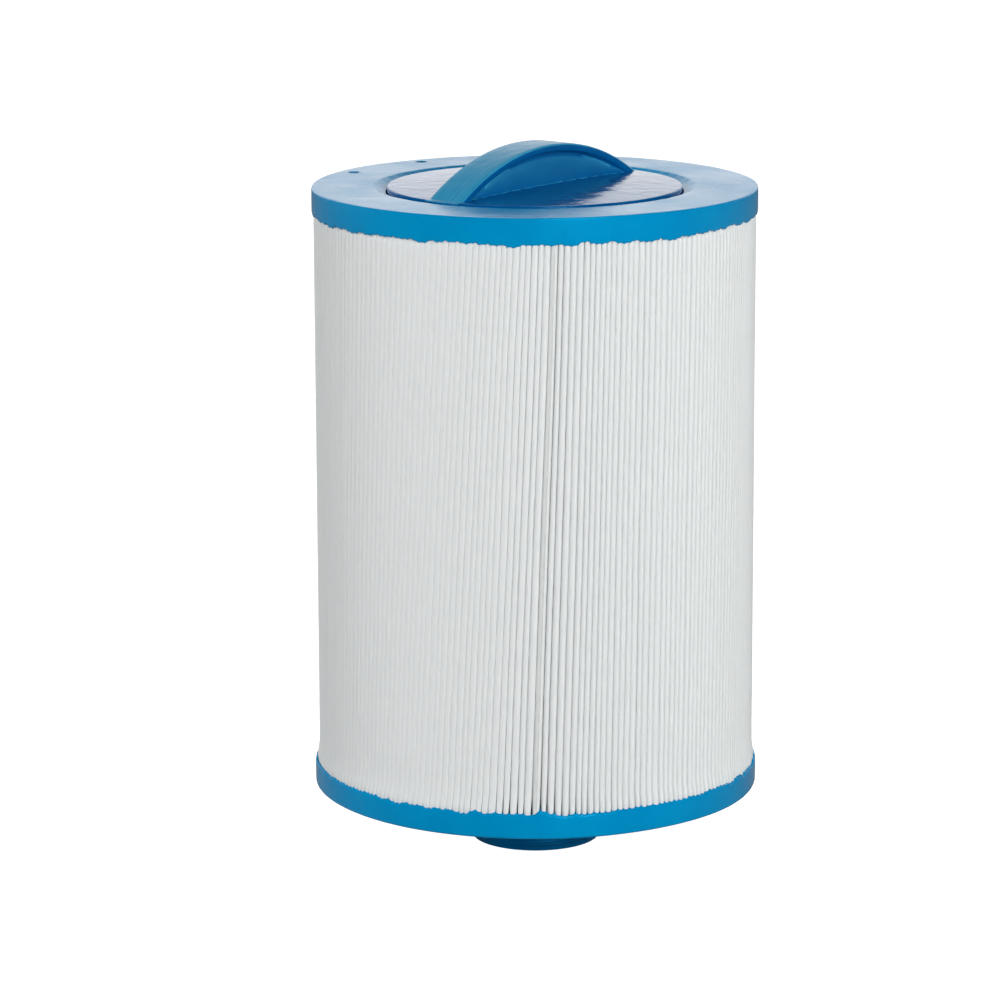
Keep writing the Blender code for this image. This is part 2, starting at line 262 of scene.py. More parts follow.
def cast_urethane(name):
    """Soft cast plastic: cyan blue, softly glossy, slightly uneven; painted shade darkens it down in its air pits.
    """
    look = Look(name, (0.0, 0.268, 0.555), 0.2, Specular_Tint=(0.03, 0.40, 0.70, 1.0))
    clouds = look.noise(45.0, 3.0, 0.55)
    grain = look.noise(900.0, 2.0, 0.5)
    specks = look.remap(look.cells(420.0), 0.0, 0.09, 1.0, 0.0)
    shade = look.mix(look.remap(clouds, 0.35, 0.65, 0.0, 1.0), (0.0, 0.262, 0.550), (0.0, 0.292, 0.590))
    shade = look.mix(look.remap(grain, 0.3, 0.7, 0.0, 0.16), shade, (0.0, 0.222, 0.49))
    shade = look.mix(look.math("MULTIPLY", specks, 0.10), shade, (0.01, 0.37, 0.66))
    # Painted shade: a near-black colour goes on the ring between radii 58 and 74 mm, from 0.25 to 3.4 mm below the
    # top face, to darken the air pits.
    outside, inside = look.out_from_axis(58.0 * MM, 60.0 * MM), look.out_from_axis(74.0 * MM, 73.0 * MM)
    ring = look.math("MULTIPLY", outside, inside)
    painted_pit_shade = look.math("MULTIPLY", ring, look.above(TOP_FACE - 0.10 * MM, TOP_FACE - 0.25 * MM))
    painted_pit_shade = look.math("MULTIPLY", painted_pit_shade, look.above(TOP_FACE - 3.8 * MM, TOP_FACE - 3.4 * MM))
    look.set("Base Color", look.mix(painted_pit_shade, shade, (0.0, 0.02, 0.06)))
    moulded, poured = look.remap(clouds, 0.3, 0.7, 0.12, 0.19), look.remap(clouds, 0.3, 0.7, 0.18, 0.29)
    look.set("Roughness", look.blend(look.facing_up(0.4, 0.9), moulded, poured))
    ripples = look.noise(130.0, 2.0, 0.45)
    streaks = look.noise(240.0, 3.0, 0.55, look.stretched(2.0, 1.0, 1.0), 0.5)
    look.bump((ripples, 0.00025, 0.40), (streaks, 0.00012, 0.30), (grain, 0.00003, 0.35))
    return look.material


def moulded_plastic(name, light, dark, roughness, worn_lit_half_width=None):
    """Injection-moulded plastic: a tight gloss over flow marks; a handle's top band is worn, and a lighter colour on
    its up-facing top and rounded edges is painted top light and a painted edge highlight.
    """
    look = Look(name, light, roughness, Specular_IOR_Level=0.42, Specular_Tint=(0.10, 0.45, 0.75, 1.0))
    clouds = look.noise(60.0, 2.0, 0.5)
    scuffs = look.noise(260.0, 4.0, 0.65, look.stretched(6.0, 1.0, 6.0), 0.6)
    grain = look.noise(2200.0, 2.0, 0.5)
    shade = look.mix(look.remap(clouds, 0.35, 0.65, 0.0, 1.0), dark, light)
    shade = look.mix(look.remap(scuffs, 0.60, 0.85, 0.0, 0.2), shade, (0.0, 0.19, 0.42))
    polish = look.remap(scuffs, 0.35, 0.8, roughness, roughness + 0.08)
    swirls = look.noise(120.0, 2.0, 0.5, None, 0.8)
    layers = [(swirls, 0.0006, 0.40), (grain, 0.00002, 0.30)]
    if worn_lit_half_width is not None:
        lines = look.noise(1300.0, 3.0, 0.6, look.stretched(*ALONG_HANDLE), 0.2)
        # Worn streaks plus painted light: the lighter blue on the band's up-facing top is painted top light, and on
        # its rounded edges it is a painted highlight.
        worn_and_lit = look.worn_and_toplit_band(worn_lit_half_width, TOP_FACE + 1.3 * MM)
        rubbed_and_lit = look.math("MULTIPLY", worn_and_lit, look.remap(lines, 0.3, 0.7, 0.7, 1.0))
        shade = look.mix(rubbed_and_lit, shade, (0.035, 0.33, 0.55))
        rough = look.remap(lines, 0.3, 0.7, 0.24, 0.38)
        polish = look.blend(worn_and_lit, polish, rough)
        layers.append((look.math("MULTIPLY", worn_and_lit, lines), 0.00006, 0.35))
    look.set("Base Color", shade)
    look.set("Roughness", polish)
    look.bump(*layers)
    return look.material


def felt(name):
    """Spun polyester: matt white with fine lengthwise fibres and a faint cool tint."""
    look = Look(name, (0.78, 0.815, 0.815), 0.92, Specular_IOR_Level=0.25)
    fibres = look.noise(1500.0, 4.0, 0.6, look.stretched(1.0, 1.0, 6.0), 0.8)
    threads = look.noise(5200.0, 2.0, 0.5, look.stretched(1.0, 1.0, 3.3), 0.4)
    clouds = look.noise(38.0, 3.0, 0.5)
    shade = look.mix(look.remap(fibres, 0.30, 0.70, 0.0, 1.0), (0.762, 0.788, 0.788), (0.820, 0.840, 0.838))
    look.set("Base Color", look.mix(look.remap(clouds, 0.35, 0.7, 0.0, 0.5), shade, (0.782, 0.808, 0.806)))
    look.set("Roughness", look.remap(fibres, 0.3, 0.7, 0.86, 0.97))
    look.bump((fibres, 0.00006, 0.45), (threads, 0.00002, 0.5))
    return look.material


def core_plastic(name):
    look = Look(name, (0.82, 0.82, 0.80), 0.45)
    clouds = look.noise(80.0, 3.0, 0.5)
    grain = look.noise(1800.0, 2.0, 0.5)
    look.set("Base Color", look.mix(look.remap(clouds, 0.3, 0.7, 0.0, 1.0), (0.77, 0.77, 0.75), (0.84, 0.84, 0.825)))
    look.set("Roughness", look.remap(grain, 0.3, 0.7, 0.38, 0.55))
    look.bump((grain, 0.00003, 0.4))
    return look.material


def seam_glue(name):
    look = Look(name, (0.74, 0.75, 0.72), 0.5)
    lumps = look.noise(320.0, 3.0, 0.5)
    look.set("Base Color", look.mix(look.remap(lumps, 0.3, 0.7, 0.0, 1.0), (0.68, 0.69, 0.66), (0.79, 0.80, 0.78)))
    look.set("Roughness", look.remap(lumps, 0.3, 0.7, 0.35, 0.6))
    look.bump((lumps, 0.0002, 0.5))
    return look.material


# ---------------------------------------------------------------- pleated sheet


def smooth(low, high, value):
    share = np.clip((value - low) / (high - low), 0.0, 1.0)
    return share * share * (3.0 - 2.0 * share)


def from_front(angle):
    """Angle from the front towards the right, between -pi and pi."""
    return (angle + 0.5 * math.pi + math.pi) % TURN - math.pi


def drift(count, rows, knots, reach):
    """Smooth random numbers, one for each fold and row: about +-1."""
    raw = RNG.normal(size=(count, knots))
    kernel = np.exp(-0.5 * (np.arange(-3 * reach, 3 * reach + 1) / max(reach, 0.01)) ** 2)
    kernel /= math.sqrt((kernel**2).sum())
    padded = np.concatenate([raw[-3 * reach :], raw, raw[: 3 * reach]]) if reach else raw
    if reach:
        raw = np.stack([np.convolve(padded[:, k], kernel, "valid") for k in range(knots)], 1)
    along = (rows - rows[0]) / (rows[-1] - rows[0]) * (knots - 1.0)
    low = np.minimum(along.astype(int), knots - 2)
    share = along - low
    share = share * share * (3.0 - 2.0 * share)
    return raw[:, low] * (1.0 - share) + raw[:, low + 1] * share


def media_rows():
    """Heights of the sheet's rows, closer together near the two caps."""
    inset = 0.2 * MM
    low, high = MEDIA_LOW - inset, MEDIA_HIGH + inset
    near = np.array([0.0, 1.4, 2.4, 4.0, 7.0, 12.0, 18.0]) * MM
    middle = np.linspace(low + 38.0 * MM, high - 38.0 * MM, 6)
    return np.concatenate([low + near, middle, (high - near)[::-1]])


ROWS = media_rows()
PITCH = (TURN - SEAM_EXTRA / TIP_RADIUS) / PLEATS


def valley_angles():
    """Angle of each inner fold at each row: even pitch, bunching, lean and wander."""
    base = SEAM_ANGLE + 0.5 * SEAM_EXTRA / TIP_RADIUS + (np.arange(PLEATS) + 0.5) * PITCH
    side = from_front(base)
    lean = 0.04 + 0.092 * np.exp(-(((side + math.radians(25)) / math.radians(32)) ** 2))
    height = (ROWS - BODY_MIDDLE) / (182.0 * MM)
    bunch = 0.20 * PITCH * drift(PLEATS, ROWS, 2, 3)[:, :1] + 0.05 * PITCH * RNG.normal(size=(PLEATS, 1))
    wander = 0.045 * PITCH * drift(PLEATS, ROWS, 5, 1)
    return base[:, None] + lean[:, None] * height[None, :] + bunch + wander


VALLEYS = valley_angles()


def gap_widths():
    """Open width between neighbouring tips, at each inner fold and row."""
    side = np.degrees(from_front(VALLEYS[:, len(ROWS) // 2]))[:, None]
    right_of_front = 1.0 - 0.35 * smooth(8.0, 17.0, side) + 0.65 * smooth(17.0, 27.0, side)
    open_side = smooth(-2.5, 4.0, side) * right_of_front
    open_side = open_side * (1.0 - 0.6 * smooth(60.0, 120.0, side))
    crisp = np.exp(-(((side - 4.0) / 7.0) ** 2))
    chance = RNG.uniform(0.3, 1.7, size=(PLEATS, 1))
    gap = (0.014 + (0.078 * open_side + 0.018 * crisp) * chance) * MM
    gap = gap + (0.004 + 0.03 * open_side) * MM * np.abs(drift(PLEATS, ROWS, 5, 0))
    above = (ROWS - (UNDERSIDE + BOTTOM_RIM_HEIGHT))[None, :]
    centre = np.exp(-(((side - 4.0) / 15.0) ** 2)) + 0.12
    lucky = RNG.uniform(0.0, 1.0, size=(PLEATS, 1)) ** 2
    lower = (1.0 - smooth(0.0, 26.0 * MM, above)) ** 1.5 * (0.03 + 0.26 * lucky)
    wedge = (1.0 - smooth(-0.5 * MM, 7.0 * MM, above)) ** 1.2 * (0.26 + 0.26 * lucky)
    gap = gap + lower * MM * centre + wedge * MM * (0.25 + 0.75 * centre)
    below = ((TOP_FACE - TOP_RIM_DEPTH) - ROWS)[None, :]
    return gap + 0.10 * MM * (0.1 + centre) * (1.0 - smooth(-0.5 * MM, 5.0 * MM, below))


GAPS = gap_widths()


def tip_profile(points):
    """Turning angles round a tip, from its left flank to its right one."""
    return np.linspace(-0.5 * math.pi, 0.5 * math.pi, points)


def tip_points(left, right, radius, turns, crest, roundness, flatness):
    """The sheet's outer and inner faces round one tip; edges and radius have one value a row."""
    middle = 0.5 * (left + right)
    half = 0.5 * (right - left) * radius
    depth = np.maximum(roundness * half, SHEET + 0.05 * MM)
    sine, cosine = np.sin(turns)[:, None], np.cos(turns)[:, None]
    bulge = np.abs(cosine) ** (0.88 - 0.60 * flatness)
    wide = np.sign(sine) * np.abs(sine) ** (0.92 - 0.30 * flatness)
    outer_r = radius - depth + depth * bulge
    outer_a = middle + (half * wide + crest * bulge) / outer_r
    thin = np.maximum(half - SHEET, 0.06 * MM)
    inner_r = radius - depth + (depth - SHEET) * bulge
    inner_a = middle + (thin * wide + crest * bulge) / inner_r
    return (outer_r, outer_a), (inner_r, inner_a)


def tip_radii():
    """Radius of each tip at each row, drawn in a little where it enters a cap."""
    side = np.degrees(from_front(np.append(VALLEYS[:, len(ROWS) // 2], SEAM_ANGLE)))[:, None]
    calm = 0.35 + 0.65 * smooth(-20.0, 0.0, side)
    uneven = 0.06 * MM * drift(PLEATS + 1, ROWS, 2, 0) + 0.03 * MM * drift(PLEATS + 1, ROWS, 5, 1)
    uneven = uneven * calm
    above = ROWS - (UNDERSIDE + BOTTOM_RIM_HEIGHT)
    below = (TOP_FACE - TOP_RIM_DEPTH) - ROWS
    drawn_in = 0.55 * MM * (1.0 - smooth(-0.8 * MM, 1.4 * MM, above))
    drawn_in = drawn_in - 0.85 * MM * (1.0 - smooth(0.0, 8.0 * MM, above)) ** 1.4
    drawn_in = drawn_in + 0.35 * MM * (1.0 - smooth(-0.8 * MM, 2.0 * MM, below))
    return TIP_RADIUS + np.clip(uneven, -0.2 * MM, 0.16 * MM) - drawn_in


def make_media():
    radii = tip_radii()
    side = np.degrees(from_front(VALLEYS[:, len(ROWS) // 2]))
    flat_side = (1.0 - 0.25 * smooth(-30.0, -16.0, side)) * (1.0 - smooth(-7.0, 4.0, side))
    flat_side = flat_side * smooth(-130.0, -95.0, side)
    tilt = -0.14 * MM * flat_side
    roundness = 0.92 - 0.42 * flat_side + 0.36 * smooth(10.0, 32.0, side)
    outer, inner = [], []

    def add(pair):
        for store, (radius, angle) in zip((outer, inner), pair):
            store.append(polar(radius, angle, ROWS[None, :]))

    def add_valley(v):
        turn = np.array([-1.0, 0.0, 1.0])[:, None]
        gap_r = FOLD_RADIUS + SHEET + 0.12 * MM * np.abs(turn)
        core_r = FOLD_RADIUS + 0.25 * MM * np.abs(turn)
        gap_side = (gap_r, VALLEYS[v] + turn * 0.03 * MM / gap_r)
        core_side = (core_r, VALLEYS[v] + turn * (SHEET + 0.03 * MM) / core_r)
        add((gap_side, core_side))

    def edge(v, sign):
        return VALLEYS[v] + sign * 0.5 * GAPS[v] / TIP_RADIUS

    seam = np.array([0.16, 0.65, 1.15, 0.5 * math.pi])
    left, right = edge(PLEATS - 1, 1.0) - TURN, edge(0, -1.0)
    add(tip_points(left, right, radii[0], seam, 0.0, 0.9, 0.0))
    for v in range(PLEATS):
        add_valley(v)
        if v < PLEATS - 1:
            turns = tip_profile(TIP_POINTS)
            crest = 0.5 * (tilt[v] + tilt[v + 1])
            shape = (crest, roundness[v], flat_side[v])
            add(tip_points(edge(v, 1.0), edge(v + 1, -1.0), radii[v + 1], turns, *shape))
    add(tip_points(left + TURN, right + TURN, radii[0], -seam[::-1], 0.0, 0.9, 0.0))

    outer, inner = np.concatenate(outer), np.concatenate(inner)
    points = np.concatenate([outer, inner[::-1]]).transpose(1, 0, 2)
    rows, loop = points.shape[:2]
    faces = [grid_faces(rows, loop)]
    half = loop // 2
    here = np.arange(half - 1)
    for start, flip in ((0, False), ((rows - 1) * loop, True)):
        ring = np.stack([here, here + 1, loop - 2 - here, loop - 1 - here], -1) + start
        faces.append(ring[:, ::-1] if flip else ring)
    obj = piece("pleated_sheet", points.reshape(-1, 3), np.concatenate(faces),
                felt("spun_polyester"), "pleated_media", 60.0)
    return radii


def make_seam(radii):
    """Thin glue bead between the sheet's two ends, with a rounded outer edge."""
    middle = 0.5 * (VALLEYS[PLEATS - 1] - TURN + VALLEYS[0])
    outline = [(49.0, -0.2), (62.0, -0.2), (73.6, -0.2), (74.7, -0.30), (75.2, -0.26), (75.42, 0.0)]
    outline += [(r, -v) for r, v in reversed(outline[:-1])]
    outline = np.array(outline) * MM
    depth = radii[0] - TIP_RADIUS
    lumps = 0.06 * MM * drift(1, ROWS, 9, 0)[0]
    ring = []
    for r, v in outline:
        out = r + depth * (r > 70.0 * MM) + lumps * (r > 74.0 * MM)
        ring.append(polar(out, middle + v / r, ROWS))
    points = np.stack(ring, 1)
    rows, loop = points.shape[:2]
    faces = [tuple(f) for f in grid_faces(rows, loop)]
    faces += [tuple(range(loop)), tuple(range(rows * loop - 1, (rows - 1) * loop - 1, -1))]
    piece("seam_bead", points.reshape(-1, 3), faces, seam_glue("seam_glue"), "seam_strip")


# ---------------------------------------------------------------- end caps


def cap_columns(row):
    """Angles of a cap's columns, and where each stands between two gaps (0 and 1 at a gap)."""
    valleys = VALLEYS[:, row]
    following = np.append(valleys[1:], valleys[0] + TURN)
    share = np.arange(COLUMNS_PER_PLEAT) / COLUMNS_PER_PLEAT
    angle = valleys[:, None] + (following - valleys)[:, None] * share[None, :]
    return angle.ravel(), np.tile(share, PLEATS)


def ragged(angle, widths, level, sag):
    """A cast edge's height round the cap: patches of different level with sagging middles."""
    unit = (angle - angle[0]) / TURN * PLEATS
    starts = [0.0]
    while starts[-1] < PLEATS:
        starts.append(starts[-1] + RNG.uniform(*widths))
    starts[-1] = float(PLEATS)
    starts = np.array(starts)
    count = len(starts) - 1
    levels = np.clip(RNG.normal(size=count), -1.6, 1.6) * level
    sags = RNG.uniform(0.25, 1.0, size=count) * sag
    at = np.clip(np.searchsorted(starts, unit, "right") - 1, 0, count - 1)
    share = (unit - starts[at]) / (starts[at + 1] - starts[at])
    width = starts[at + 1] - starts[at]
    blend = 0.7
    before = smooth(-blend, blend, unit - starts[at]) - 0.5
    after = 0.5 - smooth(-blend, blend, unit - starts[at + 1])
    height = levels[at]
    height = height + (levels[at - 1] - levels[at]) * np.clip(0.5 - before, 0.0, 0.5)
    height = height + (levels[(at + 1) % count] - levels[at]) * np.clip(0.5 - after, 0.0, 0.5)
    return height + sags[at] * (1.0 - (2.0 * share - 1.0) ** 2) * np.minimum(width / 3.2, 1.0)


def ring_noise(angle, waves, size):
    """Smooth unevenness round a ring."""
    total = np.zeros_like(angle)
    for wave in waves:
        total += RNG.normal() * np.cos(wave * angle + RNG.uniform(0.0, TURN))
    return size * total / math.sqrt(0.5 * len(waves))


def lathe_cap(angle, profile):
    """profile is a closed outline: (radius, height) pairs, each a number or one value a column."""
    rows = [polar(radius, angle, height) for radius, height in profile]
    points = np.stack(rows)
    faces = grid_faces(len(rows), len(angle), close_rows=True)
    return points, faces


def make_top_cap():
    angle, share = cap_columns(-1)
    side = np.degrees(from_front(angle))
    over_gap = np.exp(-((np.minimum(share, 1.0 - share) / 0.17) ** 2))
    edge = ragged(angle, (1.8, 4.6), 0.24 * MM, 1.05 * MM)
    edge += 0.45 * MM * (smooth(-14.0, -2.0, side) - 1.6 * smooth(10.2, 11.6, side) + 0.6 * smooth(14.0, 40.0, side))
    low = TOP_FACE - 8.35 * MM - edge - 0.30 * MM * over_gap
    swell = ring_noise(angle, range(2, 9), 0.05 * MM) + ring_noise(angle, range(40, 90, 3), 0.012 * MM)
    swell = swell + 0.022 * MM * (over_gap - 0.3)
    flat = ring_noise(angle, range(2, 7), 0.022 * MM)
    radius = TOP_CAP_RADIUS - 0.05 * MM + swell
    corner = 0.5 * MM
    profile = []
    for step in range(7):
        turn = step * math.pi / 12.0
        out = radius - corner + corner * math.sin(turn)
        profile.append((out, TOP_FACE + flat * math.cos(turn) - corner * (1.0 - math.cos(turn))))
    for fall in (0.35, 0.7, 0.9):
        start = TOP_FACE - corner
        profile.append((radius + 0.05 * MM * math.sin(fall * math.pi), start + fall * (low - start)))
    for inset, lift in ((0.03, 0.45), (0.14, 0.2), (0.36, 0.04), (0.62, 0.0), (0.95, 0.08), (1.6, 0.5)):
        profile.append((radius - inset * MM, low + lift * MM))
    web = TOP_FACE - 7.2 * MM
    bore = CORE_RADIUS - 2.5 * MM
    for r, depth in ((73.6, 7.2), (55.0, 7.2)):
        profile.append((r * MM, TOP_FACE - depth * MM))
    profile += [(bore, web), (bore, TOP_FACE - 5.5 * MM), (53.5 * MM, TOP_FACE - 5.5 * MM),
                (53.5 * MM, TOP_FACE - 3.3 * MM), (50.95 * MM, TOP_FACE - 3.3 * MM)]
    mottle = ring_noise(angle, range(20, 160, 7), 0.07 * MM)
    lip = ring_noise(angle, range(9, 60, 5), 0.10 * MM)
    profile += [
        (50.85 * MM, TOP_FACE - 2.3 * MM),
        (50.95 * MM, TOP_FACE - 1.95 * MM),
        (51.7 * MM + 0.5 * mottle, TOP_FACE - 1.75 * MM),
        (52.7 * MM + mottle, TOP_FACE - 1.25 * MM + 0.6 * mottle),
        (53.6 * MM + 0.5 * lip, TOP_FACE - 0.78 * MM - 0.7 * mottle),
        (54.4 * MM + lip, TOP_FACE - 0.28 * MM + 0.3 * mottle),
        (54.75 * MM + lip, TOP_FACE - 0.06 * MM),
        (55.1 * MM + lip, TOP_FACE),
    ]
    rings = [57.0, 59.5, 62.0, 64.5, 66.5] + list(np.arange(67.6, 72.7, 0.36)) + [73.6, 74.6]
    pits = ((154.0, 69.9, 1.9, 3.2), (125.0, 70.0, 1.75, 3.0))
    for r in rings:
        height = TOP_FACE + flat * smooth(55.0, 66.0, r) + ring_noise(angle, range(3, 30, 4), 0.012 * MM)
        for where, middle, size, depth in pits:
            along = r * (np.mod(angle - math.radians(where) + math.pi, TURN) - math.pi)
            away = np.hypot(along, r - middle) / size
            height = height - depth * MM * np.clip(1.0 - away**2, 0.0, 1.0) ** 0.28
            height = height + 0.10 * MM * np.exp(-(((away - 1.15) / 0.22) ** 2))
        profile.append((r * MM, height))
    points, faces = lathe_cap(angle, profile)
    piece("top_cap_cast", points.reshape(-1, 3), faces, cast_urethane("cast_urethane_top"),
          "top_end_cap", 50.0)


def make_bottom_cap():
    angle, share = cap_columns(0)
    side = np.degrees(from_front(angle))
    over_gap = np.exp(-((np.minimum(share, 1.0 - share) / 0.17) ** 2))
    edge = ragged(angle, (1.8, 4.6), 0.24 * MM, -0.95 * MM)
    seam_side = math.degrees(from_front(np.array(SEAM_ANGLE)))
    edge += 1.15 * MM * np.exp(-(((side - seam_side + 0.8) / 1.75) ** 4))
    edge += 0.5 * MM * np.exp(-(((side + 15.4) / 1.5) ** 4)) - 0.35 * MM * np.exp(-(((side + 18.6) / 1.4) ** 4))
    high = UNDERSIDE + 8.7 * MM + edge + 0.35 * MM * over_gap
    swell = ring_noise(angle, range(2, 9), 0.05 * MM) + ring_noise(angle, range(40, 90, 3), 0.012 * MM)
    radius = BOTTOM_CAP_RADIUS - 0.05 * MM + swell
    profile = []
    for step in range(7):
        turn = step * math.pi / 12.0
        out = radius - 0.9 * MM + 0.9 * MM * math.sin(turn)
        profile.append((out, UNDERSIDE + 0.9 * MM * (1.0 - math.cos(turn))))
    for rise in (0.3, 0.6, 0.85):
        start = UNDERSIDE + 0.9 * MM
        profile.append((radius + 0.05 * MM * math.sin(rise * math.pi), start + rise * (high - start)))
    shoulder = ((0.04, 0.6), (0.18, 0.25), (0.42, 0.05), (0.62, 0.0), (0.9, 0.05),
                (1.6, 0.3), (2.6, 0.25), (3.6, 0.5), (4.3, 1.4))
    for inset, drop in shoulder:
        profile.append((radius - inset * MM, high - drop * MM))
    bore = CORE_RADIUS - 2.5 * MM
    profile += [(72.3 * MM, UNDERSIDE + 7.0 * MM), (55.0 * MM, UNDERSIDE + 7.0 * MM), (bore, UNDERSIDE + 7.0 * MM),
                (bore, UNDERSIDE + 5.2 * MM), (38.3 * MM, UNDERSIDE + 5.2 * MM), (38.3 * MM, UNDERSIDE + 2.4 * MM),
                (24.5 * MM, UNDERSIDE + 2.4 * MM), (24.5 * MM, UNDERSIDE + 0.3 * MM), (24.8 * MM, UNDERSIDE)]
    for r in (27.0, 32.0, 38.0, 45.0, 52.0, 59.0, 65.0, 70.0, 74.0):
        dish = 0.12 * MM * math.sin(math.pi * (r - 24.8) / 51.4)
        profile.append((r * MM, UNDERSIDE + dish + ring_noise(angle, range(3, 24, 3), 0.02 * MM)))
    points, faces = lathe_cap(angle, profile)
    piece("bottom_cap_cast", points.reshape(-1, 3), faces, cast_urethane("cast_urethane_bottom"),
          "bottom_end_cap", 50.0)


# ---------------------------------------------------------------- handle plate

HANDLE_HALF_SPAN = 47.8 * MM
HANDLE_RISE = 14.35 * MM
HANDLE_HALF_WIDTH = 7.05 * MM
BAND = 2.6 * MM
WEB_LOW, WEB_HIGH = 6.6 * MM, 4.1 * MM


def handle_section(s):
    """Half of one upright cross-section of the handle: (across, height above the plate)."""
    outer = (HANDLE_HALF_SPAN**2 + HANDLE_RISE**2) / (2.0 * HANDLE_RISE)
    drop = outer - HANDLE_RISE
    top = math.sqrt(outer**2 - s**2) - drop
    low = math.sqrt((outer - BAND) ** 2 - s**2) - drop
    floor = -1.5 * MM
    low = max(low, floor + 0.25 * MM)
    fillet = min(0.8 * MM, 0.35 * max(low - floor, 0.3 * MM))
    web = WEB_LOW + (WEB_HIGH - WEB_LOW) * max(0.0, min(1.0, low / (HANDLE_RISE - BAND)))
    half = [(WEB_LOW, floor)]
    for rise in (0.3, 0.55, 0.78):
        wide = WEB_LOW + (web - WEB_LOW) * rise
        half.append((wide, max(low * rise, floor + 0.05 * MM)))
    for step in range(4):
        turn = step * math.pi / 6.0
        half.append((web + fillet * (1.0 - math.cos(turn)), low - fillet * (1.0 - math.sin(turn))))
    round_low, round_high = 0.45 * MM, 0.75 * MM
    for step in range(4):
        turn = step * math.pi / 6.0
        across, up = round_low * (1.0 - math.sin(turn)), round_low * (1.0 - math.cos(turn))
        half.append((HANDLE_HALF_WIDTH - across, low + up))
    for step in range(5):
        turn = step * math.pi / 8.0
        across = HANDLE_HALF_WIDTH - round_high * (1.0 - math.cos(turn))
        half.append((across, top - round_high * (1.0 - math.sin(turn)) - 0.04 * MM))
    half.append((0.62 * HANDLE_HALF_WIDTH, top - 0.01 * MM))
    half.append((0.3 * HANDLE_HALF_WIDTH, top))
    return half


def handle_mesh():
    reach = HANDLE_HALF_SPAN + 2.2 * MM
    spread = np.linspace(-1.0, 1.0, 97)
    sections = []
    for s in reach * np.sin(0.5 * math.pi * spread) * 0.35 + reach * spread * 0.65:
        half = handle_section(s)
        ring = [(s, across, height) for across, height in half]
        ring += [(s, -across, height) for across, height in reversed(half)]
        sections.append(ring)
    points = np.array(sections)
    rows, loop = points.shape[:2]
    cosine, sine = math.cos(HANDLE_ANGLE), math.sin(HANDLE_ANGLE)
    x = points[..., 0] * cosine - points[..., 1] * sine
    y = points[..., 0] * sine + points[..., 1] * cosine
    points = np.stack([x, y, points[..., 2] + TOP_FACE], -1).reshape(-1, 3)
    faces = [tuple(f) for f in grid_faces(rows, loop)]
    faces += [tuple(range(loop)), tuple(range(rows * loop - 1, (rows - 1) * loop - 1, -1))]
    return points, faces


def plate_mesh():
    """Disc with its flange and plug, turned round Z, with softened edges."""
    segments = 320
    angle = np.arange(segments) * TURN / segments
    dome = (4.0, 10.0, 16.0, 22.0, 28.0, 33.0, 38.0, 42.0, 45.0, 47.5, 49.2)
    rings = [(r, 0.95 - 0.95 * (r / 50.0) ** 2) for r in dome]
    for step in range(6):
        turn = step * math.pi / 10.0
        rings.append((49.85 + 0.5 * math.sin(turn), -0.49 + 0.5 * math.cos(turn)))
    rings += [(50.42, -1.9), (50.6, -3.35), (51.0, -3.6), (53.0, -3.6), (53.2, -3.8), (53.2, -5.2), (46.0, -5.2),
              (46.0, -3.0), (33.8, -3.0), (33.3, -3.5), (33.3, -13.5), (33.0, -14.0), (31.1, -14.0), (30.8, -13.7),
              (30.8, -3.4), (30.4, -3.0), (20.0, -3.0), (8.0, -3.0)]
    points = [polar(r * MM, angle, TOP_FACE + z * MM) for r, z in rings]
    points = np.stack(points)
    faces = [tuple(f) for f in grid_faces(len(rings), segments)]
    total = len(rings) * segments
    extra = [(0.0, 0.0, TOP_FACE), (0.0, 0.0, TOP_FACE - 3.0 * MM)]
    last = (len(rings) - 1) * segments
    for here in range(segments):
        there = (here + 1) % segments
        faces.append((total, here, there))
        faces.append((total + 1, last + there, last + here))
    return np.concatenate([points.reshape(-1, 3), np.array(extra)]), faces


def bare(name, points, faces):
    mesh = bpy.data.meshes.new(name)
    mesh.from_pydata([tuple(p) for p in points], [], faces)
    bm = bmesh.new()
    bm.from_mesh(mesh)
    bmesh.ops.recalc_face_normals(bm, faces=bm.faces)
    bm.to_mesh(mesh)
    bm.free()
    obj = bpy.data.objects.new(name, mesh)
    bpy.context.scene.collection.objects.link(obj)
    return obj


def make_handle_plate():
    plate = bare("plate_body", *plate_mesh())
    tool = bare("handle_tool", *handle_mesh())
    union = plate.modifiers.new("union", "BOOLEAN")
    union.operation = "UNION"
    union.solver = "EXACT"
    union.object = tool
    made = bpy.data.meshes.new_from_object(plate.evaluated_get(bpy.context.evaluated_depsgraph_get()))
    for old in (plate, tool):
        bpy.data.objects.remove(old, do_unlink=True)
    made.materials.clear()
    skin = moulded_plastic("moulded_blue", (0.0, 0.103, 0.315), (0.0, 0.090, 0.285), 0.10, HANDLE_HALF_WIDTH)
    finish_piece("handle_plate_moulded", made, skin, "handle_plate", 35.0)


# ---------------------------------------------------------------- core and fitting


